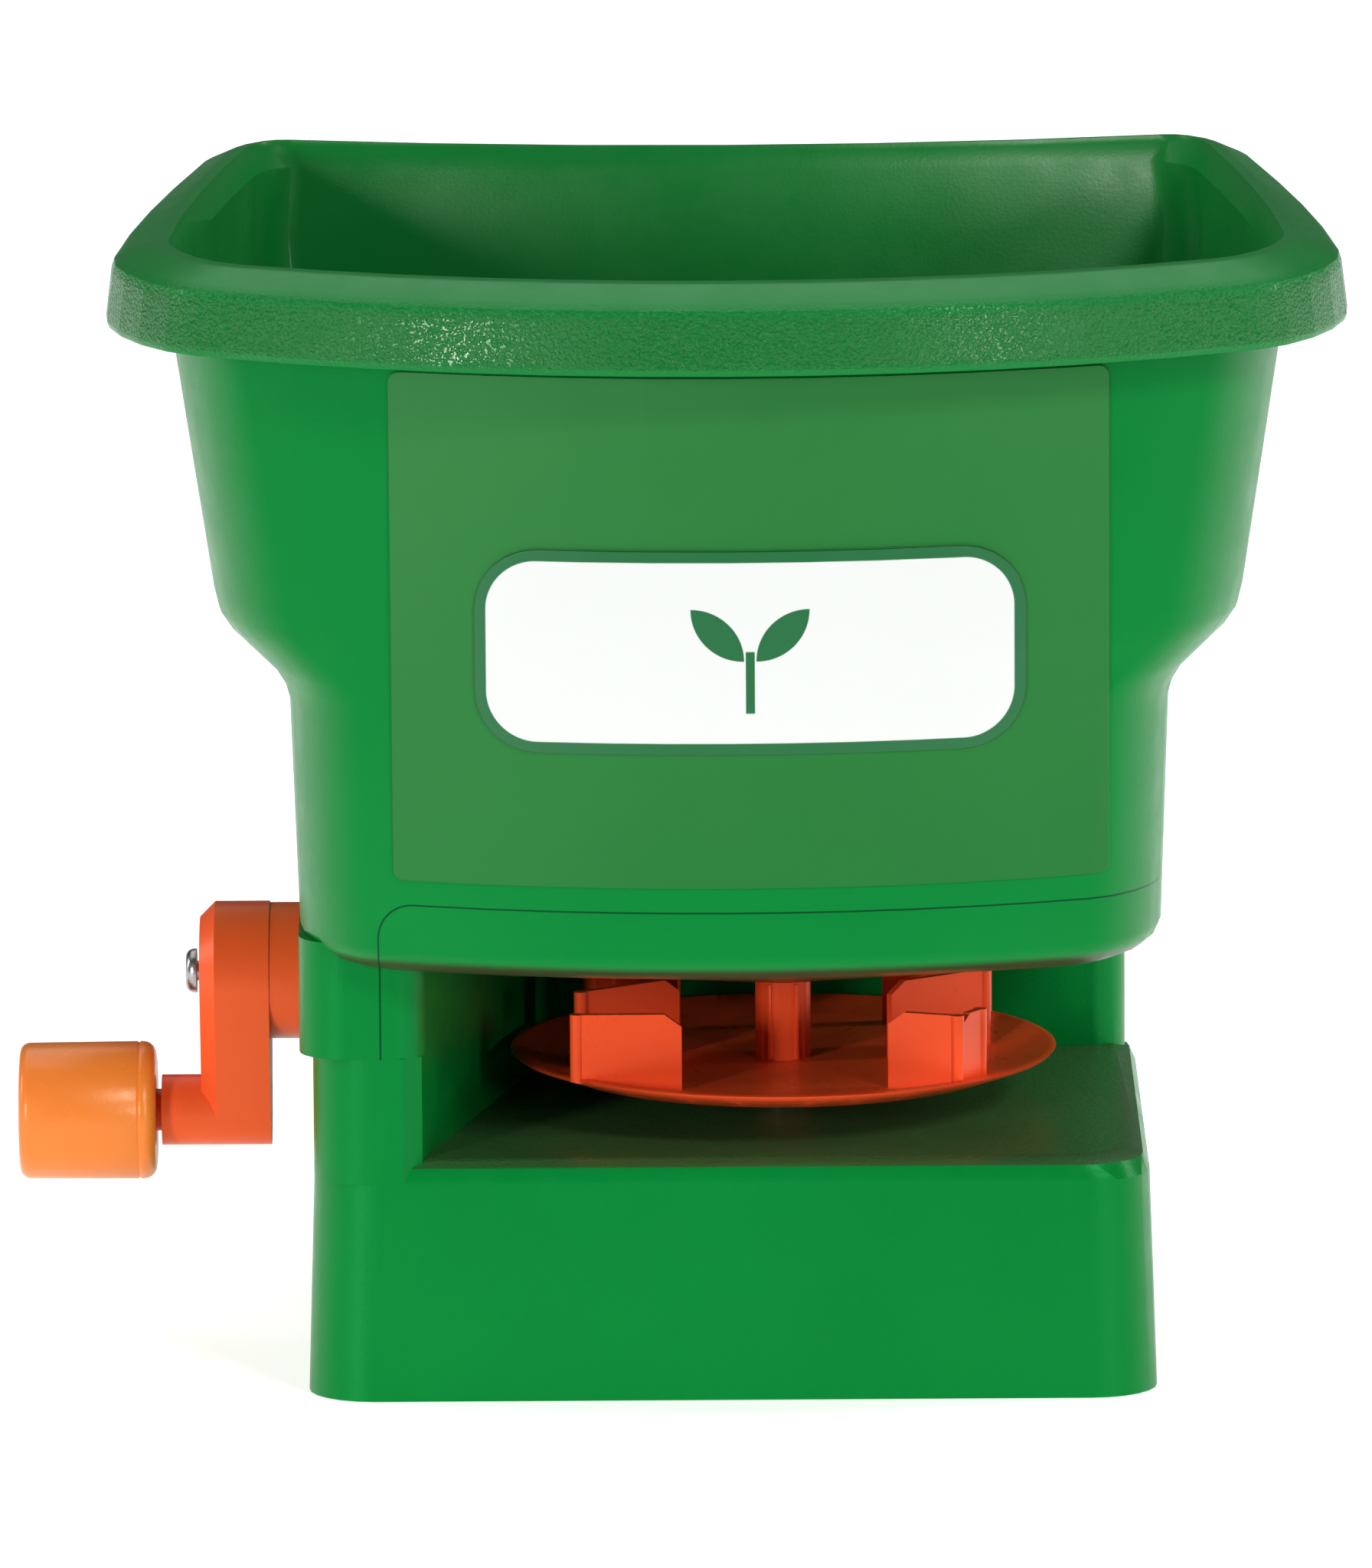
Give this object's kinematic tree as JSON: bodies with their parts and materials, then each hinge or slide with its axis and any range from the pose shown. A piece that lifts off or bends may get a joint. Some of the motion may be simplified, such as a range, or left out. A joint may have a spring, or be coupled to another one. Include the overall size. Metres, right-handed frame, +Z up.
{
  "type": "hand-held broadcast spreader",
  "caption": "Hand-held garden spreader: open hopper with a rolled rim over a cranked vaned spinner, on a flat-bottomed base, with a trigger handle at the back.",
  "frame": {"origin": "on the standing surface, straight below the spinner's axis", "axes": "+Z up, +Y from the front of the hopper towards the handle, -X towards the hand crank"},
  "size_m": [0.2618, 0.2623, 0.2254],
  "materials": {
    "green_plastic": "satin moulded green plastic with a fine grain",
    "green_film": "smooth printed film",
    "white_film": "smooth printed film",
    "crank_orange": "semi-gloss moulded plastic",
    "knob_orange": "semi-gloss moulded plastic",
    "spinner_red": "semi-gloss moulded plastic",
    "nylon": "natural nylon",
    "black_acetal": "satin acetal",
    "steel": "zinc plated steel"
  },
  "bodies": {
    "housing": {"hopper": "green_plastic", "bottom_pan": "green_plastic", "base": "green_plastic", "front_label": "green_film", "badge": "white_film", "counter_bearings": "black_acetal", "crank_bush": "black_acetal", "floor_bush": "black_acetal", "pan_bush": "black_acetal", "base_bush": "black_acetal", "handle_left": "green_plastic", "handle_right": "green_plastic", "handle_screws": "steel", "pan_screws": "steel", "trigger_pin": "steel", "return_spring": "steel"},
    "crank": {"crank_arm": "crank_orange", "crank_screw": "steel", "drive_shaft": "steel", "drive_gear": "nylon", "knob_pin": "spinner_red"},
    "knob": {"crank_knob": "knob_orange"},
    "countershaft": {"counter_shaft": "steel", "counter_pinion": "nylon", "counter_bevel": "nylon", "shaft_collar": "steel"},
    "spinner": {"spinner_shaft": "steel", "spinner_bevel": "nylon", "spinner": "spinner_red", "spinner_clip": "steel", "agitator": "spinner_red"},
    "trigger": {"trigger": "crank_orange", "trigger_link": "steel"},
    "gate": {"gate": "nylon"},
    "dial": {"rate_dial": "knob_orange", "dial_screw": "steel"}
  },
  "joints": [
    {"name": "crank_turn", "type": "hinge", "parent": "housing", "child": "crank", "pos_m": [-0.0945, 0, 0.0745], "axis": [1, 0, 0], "continuous": true},
    {"name": "knob_spin", "type": "hinge", "parent": "crank", "child": "knob", "pos_m": [-0.125, 0, 0.0465], "axis": [1, 0, 0], "continuous": true},
    {"name": "countershaft_spin", "type": "hinge", "parent": "housing", "child": "countershaft", "pos_m": [-0.05, 0, 0.09513], "axis": [1, 0, 0], "continuous": true},
    {"name": "spinner_spin", "type": "hinge", "parent": "housing", "child": "spinner", "pos_m": [0, 0, 0.06], "axis": [0, 0, 1], "continuous": true},
    {"name": "trigger_pull", "type": "hinge", "parent": "housing", "child": "trigger", "pos_m": [-0.0103, 0.105, 0.1337], "axis": [1, 0, 0], "range_deg": [0, 22.5], "stiffness_Nm_per_rad": 0.25, "springref_deg": -17.19},
    {"name": "gate_slide", "type": "slide", "parent": "housing", "child": "gate", "axis": [0, 1, 0], "range_m": [0, 0.0121]},
    {"name": "dial_turn", "type": "hinge", "parent": "housing", "child": "dial", "pos_m": [-0.0233, 0.121, 0.1597], "axis": [1, 0, 0], "range_deg": [0, 270]}
  ],
  "couplings": [
    {"joint": "countershaft_spin", "follows": "crank_turn", "ratio": -4},
    {"joint": "spinner_spin", "follows": "crank_turn", "ratio": 4},
    {"joint": "gate_slide", "follows": "trigger_pull", "m_per_rad": 0.0305}
  ]
}
